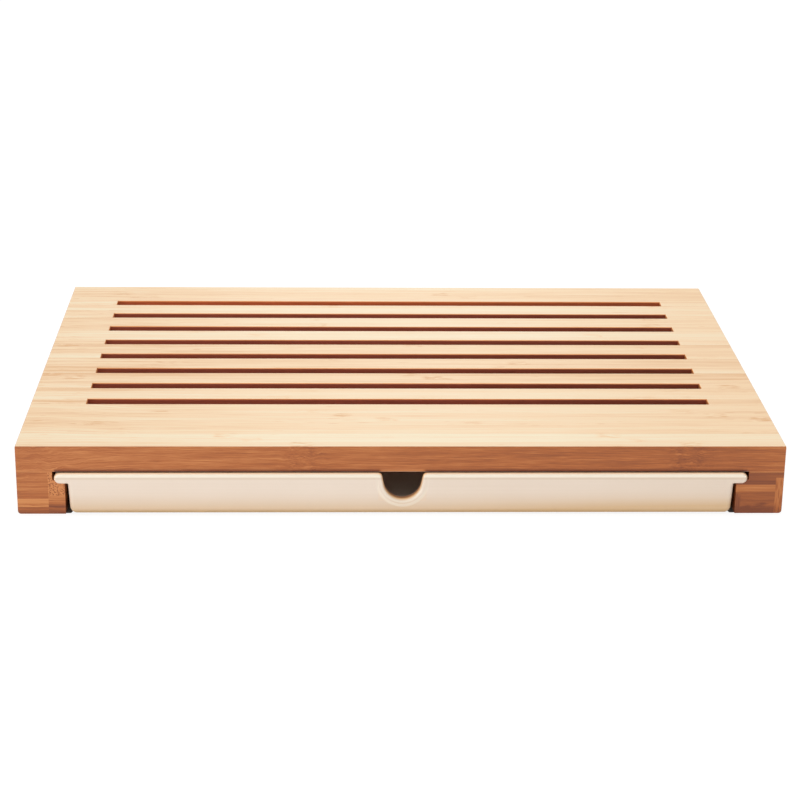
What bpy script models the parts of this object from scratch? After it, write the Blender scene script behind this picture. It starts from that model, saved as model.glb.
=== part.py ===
"""Bread board with a crumb catcher.

A slotted bamboo top is glued up from a front board, a row of slats and a back board. Short fillers
between the slats close both ends of each slot. Two grooved side rails and a rear rail carry the top,
and a moulded tray hangs by its rim in the side grooves and slides out to the front.

Metres, +Z up. X runs along the board, and the tray comes out towards -Y. The origin is the centre of
the footprint, on the table.
"""

import math

import bmesh
import bpy
from mathutils import Vector

# The slotted top
BOARD_LENGTH = 0.430
BOARD_THICKNESS = 0.0153
FRONT_BOARD_WIDTH = 0.068
BACK_BOARD_WIDTH = 0.0322
SLAT_WIDTH = 0.0186
SLOT_WIDTH = 0.0087
SLOT_COUNT = 8
SLOT_END_MARGIN = 0.0323
TOP_EASING = 0.0005

# The rails under it
RAIL_WIDTH = 0.0267
RAIL_HEIGHT = 0.0249
REAR_RAIL_WIDTH = 0.018
GROOVE_DEPTH = 0.0068
GROOVE_HEIGHT = 0.0045
RAIL_EASING = 0.001

# The glue line between two wooden pieces
GLUE_LINE = 0.0003

# The tray, and the play it has in the rails
LIP_OVERHANG = 0.003
FRONT_THICKNESS = 0.005
FRONT_BACK_ROUND = 0.001
FRONT_SIDE_PLAY = 0.0019
FRONT_PROUD = 0.0004
LIP_RISE = 0.001
LIP_ROUND = 0.0014
FOOT_ROUND = 0.0034
FOOT_CORNER_RADIUS = 0.004
EAR_DROP = 0.0018
EAR_FILLET = 0.0008
NOTCH_RADIUS = 0.011
NOTCH_DEPTH = 0.0157
NOTCH_CORNER_RADIUS = 0.0016
NOTCH_LEAN_DEGREES = 8
TRAY_WALL = 0.0025
TRAY_FLOOR = 0.003
TRAY_CORNER_RADIUS = 0.008
TRAY_FOOT_ROUND = 0.004
TRAY_INNER_ROUND = 0.003
RIM_INNER_ROUND = 0.001
RIM_SIDE_PLAY = 0.0012
RIM_STEP = 0.0002
RUNNING_GAP = 0.0003
TABLE_CLEARANCE = 0.001
TRAY_DRAFT = math.radians(2.2)

# How far a cutter runs past what it cuts
OVERRUN = 0.002

# Segments of the rounded shapes
EASING_SEGMENTS = 2
CORNER_SEGMENTS = 6
NOTCH_SEGMENTS = 8
ROUND_SEGMENTS = 4
RIM_SEGMENTS = 6

# Places that follow from the sizes
BOARD_DEPTH = (
    FRONT_BOARD_WIDTH
    + SLOT_COUNT * SLOT_WIDTH
    + (SLOT_COUNT - 1) * SLAT_WIDTH
    + BACK_BOARD_WIDTH
)
END_X = BOARD_LENGTH / 2
FRONT_Y = (LIP_OVERHANG - BOARD_DEPTH) / 2
BACK_Y = FRONT_Y + BOARD_DEPTH
UNDERSIDE_Z = RAIL_HEIGHT + GLUE_LINE
TOP_Z = UNDERSIDE_Z + BOARD_THICKNESS
LEDGE_Z = RAIL_HEIGHT - GROOVE_HEIGHT
LEDGE_X = END_X - RAIL_WIDTH
REAR_RAIL_Y = BACK_Y - REAR_RAIL_WIDTH

LIP_Y = FRONT_Y - LIP_OVERHANG
FRONT_INNER_Y = LIP_Y + FRONT_THICKNESS
EAR_BACK_Y = FRONT_Y - RUNNING_GAP
LIP_Z = UNDERSIDE_Z
FRONT_BACK_TOP_Z = LIP_Z - LIP_RISE
RIM_TOP_Z = FRONT_BACK_TOP_Z - RIM_STEP
RIM_UNDER_Z = LEDGE_Z + RUNNING_GAP
EAR_UNDER_Z = RIM_UNDER_Z - EAR_DROP
RIM_X = LEDGE_X + GROOVE_DEPTH - RIM_SIDE_PLAY
RIM_BACK_Y = REAR_RAIL_Y - RIM_SIDE_PLAY
FRONT_X = LEDGE_X - FRONT_SIDE_PLAY
WALL_X = FRONT_X - FRONT_PROUD
RIM_REACH = RIM_X - WALL_X
WALL_BACK_Y = RIM_BACK_Y - RIM_REACH
TRAY_UNDER_Z = TABLE_CLEARANCE + FRONT_PROUD

SIDES = {
    "left": Vector((-1, 0, 0)),
    "right": Vector((1, 0, 0)),
    "front": Vector((0, -1, 0)),
    "back": Vector((0, 1, 0)),
    "bottom": Vector((0, 0, -1)),
    "top": Vector((0, 0, 1)),
}


def clear_scene():
    for item in list(bpy.data.objects):
        bpy.data.objects.remove(item, do_unlink=True)


def finish_material(name, colour, roughness, metallic=0.0):
    material = bpy.data.materials.new(name)
    material.use_nodes = True
    shader = material.node_tree.nodes["Principled BSDF"]
    shader.inputs["Base Color"].default_value = (*colour, 1.0)
    shader.inputs["Roughness"].default_value = roughness
    shader.inputs["Metallic"].default_value = metallic
    return material


def add_group(name):
    """An empty that carries the pieces that move together."""
    group = bpy.data.objects.new(name, None)
    bpy.context.scene.collection.objects.link(group)
    return group


def add_object(name, mesh_data, material, group, location=(0, 0, 0)):
    item = bpy.data.objects.new(name, mesh_data)
    item.location = location
    item.parent = group
    item.data.materials.append(material)
    bpy.context.scene.collection.objects.link(item)
    return item


def mesh_from(bm, name):
    bmesh.ops.recalc_face_normals(bm, faces=bm.faces)
    data = bpy.data.meshes.new(name)
    bm.to_mesh(data)
    bm.free()
    return data


def hide_helper(item):
    item.hide_render = True
    item.display_type = "WIRE"
    return item


def side_of(face):
    """The name of the block side that a face belongs to."""
    return max(SIDES, key=lambda side: face.normal.dot(SIDES[side]))


def block_mesh(name, size, eased_sides=(), easing=0):
    """A block round its own centre. Each edge between two of its eased sides is rounded."""
    bm = bmesh.new()
    bmesh.ops.create_cube(bm, size=1)
    bmesh.ops.scale(bm, vec=size, verts=bm.verts)
    bm.normal_update()
    edges = [e for e in bm.edges if all(side_of(f) in eased_sides for f in e.link_faces)]
    if edges:
        bmesh.ops.bevel(
            bm,
            geom=edges,
            offset=easing,
            segments=EASING_SEGMENTS,
            profile=0.5,
            affect="EDGES",
        )
    return mesh_from(bm, name)


def add_block(name, low, high, material, group, eased_sides=(), easing=0):
    low = Vector(low)
    high = Vector(high)
    data = block_mesh(name, high - low, eased_sides, easing)
    return add_object(name, data, material, group, (low + high) / 2)


def boolean(item, helper, operation):
    modifier = item.modifiers.new(helper.name, "BOOLEAN")
    modifier.operation = operation
    modifier.solver = "EXACT"
    modifier.object = hide_helper(helper)


def slot_front_y(index):
    """The front edge of a slot, counted from 0 at the front."""
    return FRONT_Y + FRONT_BOARD_WIDTH + index * (SLOT_WIDTH + SLAT_WIDTH)


def add_top_board(name, front_y, back_y, material, group, eased_sides):
    return add_block(
        name,
        (-END_X, front_y, UNDERSIDE_Z),
        (END_X, back_y, TOP_Z),
        material,
        group,
        eased_sides,
        TOP_EASING,
    )


def add_fillers(index, material, group):
    """The two short blocks that close one slot's ends."""
    front_y = slot_front_y(index) + GLUE_LINE
    back_y = slot_front_y(index) + SLOT_WIDTH - GLUE_LINE
    slot_end_x = END_X - SLOT_END_MARGIN
    for side, low_x, high_x in (("left", -END_X, -slot_end_x), ("right", slot_end_x, END_X)):
        add_block(
            f"{side}_filler_{index + 1}",
            (low_x, front_y, UNDERSIDE_Z),
            (high_x, back_y, TOP_Z),
            material,
            group,
            (side, "top"),
            TOP_EASING,
        )


def add_top(material, group):
    ends = ("left", "right", "top")
    first_slot_y = slot_front_y(0)
    last_slot_back_y = slot_front_y(SLOT_COUNT - 1) + SLOT_WIDTH
    add_top_board("front_board", FRONT_Y, first_slot_y, material, group, (*ends, "front"))
    for index in range(SLOT_COUNT - 1):
        slat_y = slot_front_y(index) + SLOT_WIDTH
        add_top_board(
            f"slat_{index + 1}", slat_y, slat_y + SLAT_WIDTH, material, group, ends
        )
    add_top_board("back_board", last_slot_back_y, BACK_Y, material, group, (*ends, "back"))
    for index in range(SLOT_COUNT):
        add_fillers(index, material, group)


def add_side_rail(side, material, group):
    """A rail the full depth of the board, with a stopped groove milled into its inner top corner."""
    sign = SIDES[side].x
    inner_x = sign * LEDGE_X
    outer_x = sign * END_X
    groove_end_x = sign * (LEDGE_X + GROOVE_DEPTH)
    rail = add_block(
        f"{side}_rail",
        (min(inner_x, outer_x), FRONT_Y, 0),
        (max(inner_x, outer_x), BACK_Y, RAIL_HEIGHT),
        material,
        group,
        (side, "front", "back", "bottom"),
        RAIL_EASING,
    )
    open_x = inner_x - sign * OVERRUN
    cutter = add_block(
        f"{side}_groove_cutter",
        (min(open_x, groove_end_x), FRONT_Y - OVERRUN, LEDGE_Z),
        (max(open_x, groove_end_x), REAR_RAIL_Y, RAIL_HEIGHT + OVERRUN),
        material,
        group,
    )
    boolean(rail, cutter, "DIFFERENCE")


def add_rear_rail(material, group):
    add_block(
        "rear_rail",
        (-LEDGE_X + GLUE_LINE, REAR_RAIL_Y, 0),
        (LEDGE_X - GLUE_LINE, BACK_Y, RAIL_HEIGHT),
        material,
        group,
        ("back", "bottom"),
        RAIL_EASING,
    )


def arc(centre, radius, start, end, segments):
    """Points of an arc in a plane, angles in degrees, both ends included."""
    points = []
    for step in range(segments + 1):
        angle = math.radians(start + (end - start) * step / segments)
        across = centre[0] + radius * math.cos(angle)
        up = centre[1] + radius * math.sin(angle)
        points.append((across, up))
    return points


def lip_round():
    """The edge radius of the lip, the ears and the notch, limited by the smallest curve that it follows."""
    ear_radius = (LIP_Z - EAR_UNDER_Z) / 2
    return min(LIP_ROUND, min(ear_radius, NOTCH_CORNER_RADIUS) - RUNNING_GAP / 2)


def foot_round():
    """The radius of the front's lower edge, limited by its corners."""
    return min(FOOT_ROUND, FOOT_CORNER_RADIUS - RUNNING_GAP / 2)


def notch_shoulder_x():
    """Where the notch's shoulder has its centre, so that the leaning side runs into it smoothly."""
    lean = math.radians(NOTCH_LEAN_DEGREES)
    rise = NOTCH_DEPTH - NOTCH_RADIUS - NOTCH_CORNER_RADIUS
    across = (NOTCH_RADIUS + NOTCH_CORNER_RADIUS) / math.cos(lean)
    return across + rise * math.tan(lean)


def front_outline(lip_inset, foot_inset):
    """The tray front in elevation, x and z, with its finger notch and its two ears, drawn in.

    It returns the outline, and for each of its points whether it lies on the foot.
    """
    ear_radius = (LIP_Z - EAR_UNDER_Z) / 2
    under_z = TABLE_CLEARANCE
    foot_x = FRONT_X - (EAR_UNDER_Z - under_z) * math.tan(TRAY_DRAFT)
    half = arc(
        (0, LIP_Z - NOTCH_DEPTH + NOTCH_RADIUS),
        NOTCH_RADIUS + lip_inset,
        -90,
        -NOTCH_LEAN_DEGREES,
        NOTCH_SEGMENTS,
    )
    half += arc(
        (notch_shoulder_x(), LIP_Z - NOTCH_CORNER_RADIUS),
        NOTCH_CORNER_RADIUS - lip_inset,
        180 - NOTCH_LEAN_DEGREES,
        90,
        CORNER_SEGMENTS,
    )
    half += arc(
        (RIM_X - ear_radius, EAR_UNDER_Z + ear_radius),
        ear_radius - lip_inset,
        90,
        -90,
        2 * ROUND_SEGMENTS,
    )
    half += arc(
        (FRONT_X + EAR_FILLET, EAR_UNDER_Z - EAR_FILLET),
        EAR_FILLET + lip_inset,
        90,
        180,
        ROUND_SEGMENTS,
    )
    foot = arc(
        (foot_x - FOOT_CORNER_RADIUS, under_z + FOOT_CORNER_RADIUS),
        FOOT_CORNER_RADIUS - foot_inset,
        0,
        -90,
        CORNER_SEGMENTS,
    )
    on_foot = [False] * len(half) + [True] * len(foot)
    half += foot
    mirrored = [(-x, z) for x, z in reversed(half[1:])]
    return half + mirrored, on_foot + on_foot[:0:-1]


def loft(bm, rings, closed):
    """Joins rings of equal length into a skin, and returns the rings' vertices."""
    made = [[bm.verts.new(point) for point in ring] for ring in rings]
    for lower, upper in zip(made, made[1:]):
        count = len(lower)
        last = count if closed else count - 1
        for i in range(last):
            j = (i + 1) % count
            bm.faces.new((lower[i], lower[j], upper[j], upper[i]))
    return made


def front_panel_mesh():
    """The tray's front: the outline, as thick as the front, with its edges rounded over."""
    rings = []
    for step in range(ROUND_SEGMENTS, -1, -1):
        angle = math.pi / 2 * step / ROUND_SEGMENTS
        inset = FRONT_BACK_ROUND * (1 - math.cos(angle))
        y = FRONT_INNER_Y - FRONT_BACK_ROUND * (1 - math.sin(angle))
        outline, _ = front_outline(inset, inset)
        rings.append([(x, y, z) for x, z in outline])
    for step in range(ROUND_SEGMENTS + 1):
        angle = math.pi / 2 * step / ROUND_SEGMENTS
        drawn_in = 1 - math.cos(angle)
        set_back = 1 - math.sin(angle)
        lip_y = LIP_Y + lip_round() * set_back
        foot_y = LIP_Y + foot_round() * set_back
        outline, on_foot = front_outline(lip_round() * drawn_in, foot_round() * drawn_in)
        rings.append(
            [(x, foot_y if low else lip_y, z) for (x, z), low in zip(outline, on_foot)]
        )
    bm = bmesh.new()
    made = loft(bm, rings, closed=True)
    bm.faces.new(made[0])
    bm.faces.new(made[-1])
    return mesh_from(bm, "tray_front")


def wall_outline(reach, z):
    """The tray's wall in plan, open at the front, moved out by reach, at a height z."""
    x = WALL_X + reach
    back_y = WALL_BACK_Y + reach
    radius = max(TRAY_CORNER_RADIUS + reach, RUNNING_GAP)
    front_y = (LIP_Y + FRONT_INNER_Y) / 2
    points = [(x, front_y)]
    points += arc((x - radius, back_y - radius), radius, 0, 90, CORNER_SEGMENTS)
    points += arc((radius - x, back_y - radius), radius, 90, 180, CORNER_SEGMENTS)
    points.append((-x, front_y))
    return [(px, py, z) for px, py in points]


def drafted(z):
    """How far the wall has leaned in at a height z."""
    return (RIM_UNDER_Z - z) * math.tan(TRAY_DRAFT)


def tray_section():
    """The wall's section, as (reach, z) from the underside, out over the rim and in to the floor."""
    foot_reach = -drafted(TRAY_UNDER_Z + TRAY_FOOT_ROUND) - TRAY_FOOT_ROUND
    foot_z = TRAY_UNDER_Z + TRAY_FOOT_ROUND
    section = arc((foot_reach, foot_z), TRAY_FOOT_ROUND, -90, 0, ROUND_SEGMENTS)
    section.append((0, RIM_UNDER_Z))
    rim_radius = (RIM_TOP_Z - RIM_UNDER_Z) / 2
    rim_centre = (RIM_REACH - rim_radius, RIM_UNDER_Z + rim_radius)
    section += arc(rim_centre, rim_radius, -90, 90, RIM_SEGMENTS)
    inner_reach = -TRAY_WALL
    section += arc(
        (inner_reach + RIM_INNER_ROUND, RIM_TOP_Z - RIM_INNER_ROUND),
        RIM_INNER_ROUND,
        90,
        180,
        ROUND_SEGMENTS,
    )
    floor_z = TRAY_UNDER_Z + TRAY_FLOOR
    fillet_z = floor_z + TRAY_INNER_ROUND
    fillet_reach = inner_reach - drafted(fillet_z) - TRAY_INNER_ROUND
    section += arc((fillet_reach, fillet_z), TRAY_INNER_ROUND, 0, -90, ROUND_SEGMENTS)
    return section


def tray_shell_mesh():
    """Floor, side walls, rear wall and rim, open where the front panel closes them."""
    bm = bmesh.new()
    made = loft(bm, [wall_outline(reach, z) for reach, z in tray_section()], closed=False)
    bm.faces.new(made[0])
    bm.faces.new(made[-1])
    right_end = [ring[0] for ring in made]
    left_end = [ring[-1] for ring in made]
    bm.faces.new(right_end + left_end[::-1])
    return mesh_from(bm, "crumb_tray")


def add_tray(material, group):
    """The moulded tray: a shell and a front that carries the lip, the notch and the two ears.

    Behind the lip and the ears the front is cut back, so that it passes under the board.
    """
    tray = add_object("crumb_tray", tray_shell_mesh(), material, group)
    front = add_object("tray_front_form", front_panel_mesh(), material, group)
    for side in ("left", "right"):
        sign = SIDES[side].x
        inner_x = sign * FRONT_X
        outer_x = sign * (RIM_X + OVERRUN)
        cutter = add_block(
            f"{side}_ear_cutter",
            (min(inner_x, outer_x), EAR_BACK_Y, TABLE_CLEARANCE - OVERRUN),
            (max(inner_x, outer_x), FRONT_INNER_Y + OVERRUN, LIP_Z + OVERRUN),
            material,
            group,
        )
        boolean(front, cutter, "DIFFERENCE")
    rebate_cutter = add_block(
        "lip_rebate_cutter",
        (-RIM_X - OVERRUN, EAR_BACK_Y, FRONT_BACK_TOP_Z),
        (RIM_X + OVERRUN, FRONT_INNER_Y + OVERRUN, LIP_Z + OVERRUN),
        material,
        group,
    )
    boolean(front, rebate_cutter, "DIFFERENCE")
    boolean(tray, front, "UNION")
    for face in tray.data.polygons:
        face.use_smooth = True


def main():
    clear_scene()
    top_bamboo = finish_material("top_bamboo", (0.86, 0.62, 0.38), 0.45)
    rail_bamboo = finish_material("rail_bamboo", (0.48, 0.20, 0.09), 0.5)
    melamine = finish_material("melamine", (0.86, 0.74, 0.60), 0.25)
    body = add_group("board_body")
    drawer = add_group("tray_slide")
    add_top(top_bamboo, body)
    for side in ("left", "right"):
        add_side_rail(side, rail_bamboo, body)
    add_rear_rail(rail_bamboo, body)
    add_tray(melamine, drawer)
    bpy.context.view_layer.update()


main()
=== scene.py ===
"""Looks of the bread board with a crumb catcher.

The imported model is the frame. Each operator makes one piece, or one group of like pieces, in bamboo or
melamine, and one makes the stage. Sizes that the frame holds are read from it.
"""

import math
from collections import namedtuple
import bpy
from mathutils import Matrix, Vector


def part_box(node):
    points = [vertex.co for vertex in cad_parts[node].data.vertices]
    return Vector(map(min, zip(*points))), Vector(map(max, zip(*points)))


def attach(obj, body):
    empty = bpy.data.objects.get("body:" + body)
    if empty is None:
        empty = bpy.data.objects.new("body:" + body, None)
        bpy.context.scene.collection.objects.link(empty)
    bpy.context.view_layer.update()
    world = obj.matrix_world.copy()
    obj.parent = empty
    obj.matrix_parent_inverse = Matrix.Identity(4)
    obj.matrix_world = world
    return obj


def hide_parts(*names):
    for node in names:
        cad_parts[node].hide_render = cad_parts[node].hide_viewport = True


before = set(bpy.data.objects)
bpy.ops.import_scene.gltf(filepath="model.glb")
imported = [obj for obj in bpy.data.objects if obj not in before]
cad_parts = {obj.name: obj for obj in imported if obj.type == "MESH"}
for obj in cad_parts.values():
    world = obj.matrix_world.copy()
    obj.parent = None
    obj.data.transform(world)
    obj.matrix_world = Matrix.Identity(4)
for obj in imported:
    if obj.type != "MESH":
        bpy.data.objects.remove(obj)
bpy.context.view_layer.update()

from types import SimpleNamespace

import bmesh
import bpy
from bpy.props import FloatProperty, FloatVectorProperty, PointerProperty
from mathutils import Matrix, Vector

bl_info = {
    "name": "Bread board with crumb catcher",
    "version": (1, 0, 0),
    "blender": (4, 5, 0),
    "location": "3D View > Sidebar > Bread board",
    "description": "Makes a slotted bamboo bread board and the crumb tray that slides under it",
    "category": "Add Mesh",
}

FRONT_LOW, FRONT_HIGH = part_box("front_board")
BACK_LOW, BACK_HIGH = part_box("back_board")
SLAT_LOW, SLAT_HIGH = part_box("slat_1")
NEXT_SLAT_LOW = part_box("slat_2")[0]
FILLER_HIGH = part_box("left_filler_1")[1]
RAIL_LOW, RAIL_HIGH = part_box("right_rail")
REAR_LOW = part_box("rear_rail")[0]
TRAY_LOW, TRAY_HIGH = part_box("crumb_tray")

# The slotted top
END_X = FRONT_HIGH.x
FRONT_Y = FRONT_LOW.y
BACK_Y = BACK_HIGH.y
UNDERSIDE_Z = FRONT_LOW.z
TOP_Z = FRONT_HIGH.z
SLOT_END_X = -FILLER_HIGH.x
SLOT_WIDTH = SLAT_LOW.y - FRONT_HIGH.y
SLAT_WIDTH = SLAT_HIGH.y - SLAT_LOW.y
SLAT_PITCH = NEXT_SLAT_LOW.y - SLAT_LOW.y
SLAT_COUNT = sum(1 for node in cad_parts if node.startswith("slat_"))
SLOT_COUNT = SLAT_COUNT + 1

# The rails
LEDGE_X = RAIL_LOW.x
RAIL_WIDTH = RAIL_HIGH.x - RAIL_LOW.x
RAIL_TOP_Z = RAIL_HIGH.z
REAR_RAIL_Y = REAR_LOW.y

# The tray
RIM_X = TRAY_HIGH.x
LIP_Y = TRAY_LOW.y
LIP_Z = TRAY_HIGH.z
FOOT_Z = TRAY_LOW.z
RIM_BACK_Y = TRAY_HIGH.y
NOTCH_REACH = 0.0135

# Numbers that tell the bars apart in their grain
FRONT_BAR = 0
BACK_BAR = 1
REAR_BAR = 2
FIRST_LEFT_FILLER_BAR = 30
FIRST_RIGHT_FILLER_BAR = 50
SEAM_STRIP_BAR = 69
FIRST_LEFT_RAIL_BAR = 70
FIRST_RIGHT_RAIL_BAR = 90
FIRST_SLAT_BAR = 2073
STRIPS_APART = 64
STRIP_SEED = 13830


def length(name, description, default):
    return FloatProperty(
        name=name, description=description, default=default, min=0, unit="LENGTH", precision=4
    )


def colour(name, description, default):
    return FloatVectorProperty(
        name=name, description=description, default=default, size=3, min=0, max=1, subtype="COLOR"
    )


def plain(name, description, default):
    return FloatProperty(name=name, description=description, default=default, precision=3)


def turn(name, description, degrees):
    return FloatProperty(
        name=name, description=description, default=math.radians(degrees), subtype="ANGLE"
    )


class BoardSizes(bpy.types.PropertyGroup):
    """Small sizes of the wooden pieces, and of the strips that they are laminated from."""

    arris: length("Arris", "Rounding of the edges that a hand meets", 0.0005)
    slot_arris: length("Slot arris", "Rounding of the slots' upper edges", 0.0006)
    under_arris: length("Lower arris", "Rounding of the front board's edge over the tray", 0.0005)
    hairline: length("Hairline", "Rounding of an edge that is left sharp", 0.00004)
    seam_arris: length("Seam arris", "Rounding of a rail's strips where they meet", 0.00008)
    foot_corner: length("Foot corner", "Rounding of the rails' outer bottom corners", 0.0018)
    strip_width: length("Strip width", "Width of one bamboo strip in the top", 0.0066)
    knuckle_spacing: length("Knuckle spacing", "Distance between a strip's knuckles", 0.217)
    first_knuckle: length("First knuckle", "Place of the front strip's right knuckle", 0.1611)
    groove_depth: length("Groove depth", "How far the tray's groove cuts into a rail", 0.0068)
    groove_height: length("Groove height", "Height of the tray's groove", 0.0045)


class TraySizes(bpy.types.PropertyGroup):
    """Sizes of the moulded tray."""

    side_play: length("Side play", "Gap between the tray's front and a rail", 0.0019)
    front_thickness: length("Front thickness", "Thickness of the tray's front", 0.005)
    front_proud: length("Front proud", "How far the front stands out from the shell", 0.0004)
    lip_rise: length("Lip rise", "How far the lip stands up from the front behind it", 0.001)
    lip_rear: length("Lip rear", "Rounding of the lip's rear edge", 0.001)
    lip_band: length("Lip band", "Width of the rolled lip", 0.0023)
    notch_band: length("Notch band", "Width of the rolled edge beside the finger notch", 0.0035)
    notch_foot_band: length("Notch foot band", "Width of the rolled edge under the notch", 0.0045)
    foot_band: length("Foot band", "Height of the rounding of the front's lower edge", 0.0038)
    foot_depth: length("Foot depth", "How far the lower edge's rounding reaches back", 0.0027)
    roll_depth: length("Roll depth", "How far the lip's rounding reaches back", 0.0017)
    roll_rise: length("Roll rise", "How far the rolled lip stands out from the face", 0.00013)
    notch_rise: length("Notch rise", "How far the notch's rolled edge stands out from the face", 0.0003)
    back_round: length("Back round", "Rounding of the front's rear edges", 0.0008)
    notch_radius: length("Notch radius", "Radius of the finger notch", 0.0106)
    notch_depth: length("Notch depth", "From the lip's top down to the notch's bottom", 0.0154)
    notch_corner: length("Notch corner", "Radius of the notch's two shoulders", 0.0022)
    notch_lean: turn("Notch lean", "Lean of the notch's sides", 11)
    foot_radius: length("Foot radius", "Radius of the front's lower corners", 0.004)
    ear_drop: length("Ear drop", "How far the ears hang below the rim", 0.0018)
    ear_fillet: length("Ear fillet", "Rounding between an ear and the front's side", 0.0008)
    rim_step: length("Rim step", "How far the rim lies under the front's rear edge", 0.0002)
    running_gap: length("Running gap", "Play between the tray and what it slides on", 0.0003)
    wall: length("Wall", "Thickness of the tray's walls", 0.0025)
    floor: length("Floor", "Thickness of the tray's floor", 0.003)
    corner_radius: length("Corner radius", "Radius of the tray's rear corners", 0.008)
    inner_round: length("Inner round", "Rounding between the tray's floor and its walls", 0.003)
    draft: turn("Draft", "Lean of the walls", 2.2)


class FinishSettings(bpy.types.PropertyGroup):
    """Colours and sheen of the wood and of the melamine, and the painted light and shade that some of their
    tones stand for.
    """

    pale_light: colour("Pale light", "Lightest tone of the cutting face", (0.915, 0.79, 0.56))
    pale_mid: colour("Pale middle", "Middle tone of the cutting face", (0.915, 0.66, 0.406))
    pale_dark: colour("Pale dark", "Tone of the knuckles on the cutting face", (0.76, 0.44, 0.21))
    caramel_light: colour("Caramel light", "Lightest tone of the sides", (0.65, 0.26, 0.085))
    caramel_mid: colour("Caramel middle", "Middle tone of the sides", (0.44, 0.130, 0.033))
    caramel_dark: colour("Caramel dark", "Darkest tone of the sides", (0.22, 0.060, 0.022))
    slot_tone: colour("Slot tone", "Tone of the slots' walls", (0.50, 0.135, 0.075))
    # Painted light on the walls at the slots' ends.
    slot_end_light: colour("Slot end tone", "Tone of the walls at the slots' ends", (0.95, 0.38, 0.12))
    # Painted highlight on the slots' rounded edges.
    slot_edge_highlight: colour("Slot edge tone", "Tone of the slots' rounded edges", (0.78, 0.29, 0.065))
    # Painted shade: one flat grey for the top's underside, in place of bamboo.
    under_shade: colour("Under tone", "Tone of the top's underside", (0.33, 0.31, 0.28))
    # Painted light on the last slot's wall.
    back_slot_light: colour("Back slot tone", "Tone of the last slot's wall", (0.90, 0.24, 0.085))
    wood_roughness: plain("Wood roughness", "Roughness of the oiled bamboo", 0.46)
    ivory: colour("Ivory", "Colour of the melamine", (0.86, 0.735, 0.62))
    ivory_shade: colour("Ivory shade", "Darker mottling of the melamine", (0.80, 0.665, 0.54))
    # Painted highlight on the rolled lip and in the rings round the notch.
    ivory_highlight: colour("Ivory lip", "Colour of the melamine on the rolled lip", (0.95, 0.87, 0.73))
    # Painted shade at the melamine's foot.
    ivory_foot_shade: colour("Ivory foot", "Tone of the melamine at its foot", (0.72, 0.50, 0.29))
    # Painted reflection of the wood on the melamine behind its rolled edges.
    ivory_gold_reflection: colour("Ivory gold", "Tone of the melamine behind its rolled edges", (1.0, 0.61, 0.28))
    # Painted shade along the melamine's lower edge.
    ivory_line_shade: colour("Ivory line", "Tone of the melamine along its lower edge", (0.52, 0.32, 0.13))
    # Painted shade deep in the notch's edge.
    ivory_notch_shade: colour("Ivory edge", "Tone of the melamine deep in the notch's edge", (0.68, 0.28, 0.13))
    ivory_roughness: plain("Ivory roughness", "Roughness of the melamine", 0.32)


class StageSettings(bpy.types.PropertyGroup):
    """The studio, and the photograph's camera."""

    lens: FloatProperty(name="Lens", description="Focal length", default=95.36, unit="CAMERA")
    camera_place: FloatVectorProperty(
        name="Camera place",
        description="Where the camera stands",
        default=(-0.0417, -1.2460, 0.4711),
        size=3,
        unit="LENGTH",
        precision=4,
    )
    pitch: turn("Pitch", "How far the camera looks down", 20.154)
    heading: turn("Heading", "How far the camera is turned to the right", 2.074)
    roll: turn("Roll", "How far the camera leans over", 0.762)
    sky: plain("Sky", "Strength of the light from all round", 0.5)
    key_strength: plain("Key lamp", "Strength of the lamp overhead", 1.37)
    fill_power: plain("Fill lamp", "Power of the low lamp at the front, in watts", 29.0)
    sheen_power: plain("Sheen lamp", "Power of the soft lamp behind, in watts", 0.8)
    floor_tone: colour("Floor", "Colour of the floor as it is seen", (0.19, 0.19, 0.19))
    floor_glow: plain("Floor glow", "White added to the floor as it is seen", 0.89)
    floor_bounce: colour("Floor bounce", "Colour of the floor's light on the object", (0.85, 0.85, 0.85))


PROPERTY_GROUPS = {
    "bread_board": BoardSizes,
    "crumb_tray": TraySizes,
    "board_finish": FinishSettings,
    "board_stage": StageSettings,
}



class Wire:
    """A value that a node puts out. Sums and comparisons with it add the nodes that work them out."""

    def __init__(self, graph, socket):
        self.graph = graph
        self.socket = socket

    def math(self, operation, *others, clamp=False):
        node = self.graph.add("ShaderNodeMath", operation=operation, use_clamp=clamp)
        for socket, value in zip(node.inputs, (self, *others)):
            self.graph.feed(socket, value)
        return Wire(self.graph, node.outputs[0])

    def __add__(self, other):
        return self.math("ADD", other)

    def __sub__(self, other):
        return self.math("SUBTRACT", other)

    def __rsub__(self, other):
        return self.math("MULTIPLY_ADD", -1.0, other)

    def __mul__(self, other):
        return self.math("MULTIPLY", other)

    def __truediv__(self, other):
        return self.math("DIVIDE", other)

    def __lt__(self, other):
        return self.math("LESS_THAN", other)

    def __gt__(self, other):
        return self.math("GREATER_THAN", other)

    def __abs__(self):
        return self.math("ABSOLUTE")

    def __neg__(self):
        return self.math("MULTIPLY", -1.0)

    __radd__ = __add__
    __rmul__ = __mul__

    def spread(self, low, high):
        """A value from 0 to 1, spread from low to high."""
        return self.math("MULTIPLY_ADD", high - low, low)

    def step(self, low, high):
        """0 below low, 1 above high, and smooth between them."""
        return self.graph.get("ShaderNodeMapRange", "Result", interpolation_type="SMOOTHSTEP",
                              clamp=True, Value=self, From_Min=low, From_Max=high)

    def fall(self, low, high):
        """1 below low, 0 above high, and smooth between them."""
        return 1.0 - self.step(low, high)

    def between(self, low, high, soft):
        """1 from low to high, and 0 past a soft border on both sides."""
        return self.step(low - soft, low) * self.fall(high, high + soft)


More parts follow.
